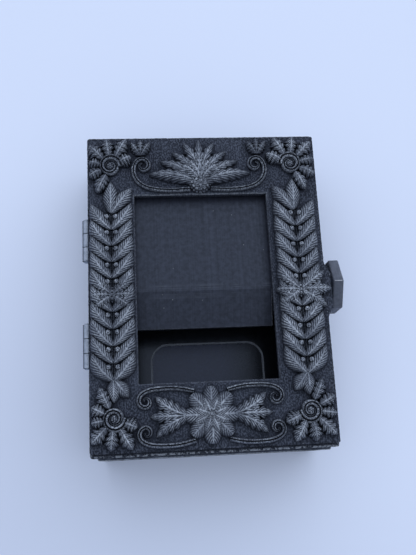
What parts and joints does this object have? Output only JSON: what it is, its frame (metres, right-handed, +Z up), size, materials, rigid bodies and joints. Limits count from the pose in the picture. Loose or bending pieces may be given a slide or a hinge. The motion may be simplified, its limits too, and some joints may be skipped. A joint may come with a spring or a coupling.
{
  "type": "deck box with drawer",
  "caption": "Flat card deck box: hinged picture-frame lid with carved relief and a card window, and a pull-out drawer with a card bay and a dice bay.",
  "frame": {"origin": "centre of the case's base, on the surface that it stands on", "axes": "+X towards the drawer pull, +Y along the box, +Z up out of the lid"},
  "size_m": [0.1246, 0.1528, 0.053],
  "materials": {
    "case_plastic": "charcoal printed plastic with fine layer lines",
    "lid_plastic": "charcoal printed plastic, stippled",
    "relief_plastic": "charcoal plastic dry-brushed with silver",
    "panel_plastic": "smooth charcoal printed plastic",
    "drawer_plastic": "charcoal printed plastic",
    "knob_plastic": "charcoal printed plastic with edges rubbed light",
    "runner_plastic": "slippery grey plastic",
    "steel": "dull grey steel",
    "magnet": "nickel plated"
  },
  "bodies": {
    "case": {"case_shell": "case_plastic", "case_magnets": "magnet", "case_drawer_magnet": "magnet", "drawer_runners": "runner_plastic", "drawer_stop_pin": "steel", "upper_hinge_case_leaf": "steel", "lower_hinge_case_leaf": "steel", "upper_hinge_pin": "steel", "lower_hinge_pin": "steel", "hinge_case_screws": "steel"},
    "lid": {"lid_frame": "lid_plastic", "face_plate": "lid_plastic", "card_panel": "panel_plastic", "panel_screws": "steel", "lid_magnets": "magnet", "upper_hinge_lid_leaf": "steel", "lower_hinge_lid_leaf": "steel", "hinge_lid_screws": "steel", "crest_top": "relief_plastic", "rosette_bottom": "relief_plastic", "garland_left": "relief_plastic", "garland_right": "relief_plastic", "corner_scroll_top_left": "relief_plastic", "corner_scroll_top_right": "relief_plastic", "corner_scroll_bottom_left": "relief_plastic", "corner_scroll_bottom_right": "relief_plastic"},
    "drawer": {"drawer_tray": "drawer_plastic", "drawer_front": "drawer_plastic", "drawer_front_screws": "steel", "drawer_front_dowels": "runner_plastic", "drawer_magnet": "magnet", "drawer_knob": "knob_plastic", "knob_screw": "steel", "knob_washer": "steel"}
  },
  "joints": [
    {"name": "lid_hinge", "type": "hinge", "parent": "case", "child": "lid", "pos_m": [-0.0558, 0, 0.0416], "axis": [0, -1, 0], "range_deg": [0, 180]},
    {"name": "drawer_slide", "type": "slide", "parent": "case", "child": "drawer", "axis": [1, 0, 0], "range_m": [0, 0.072]}
  ]
}
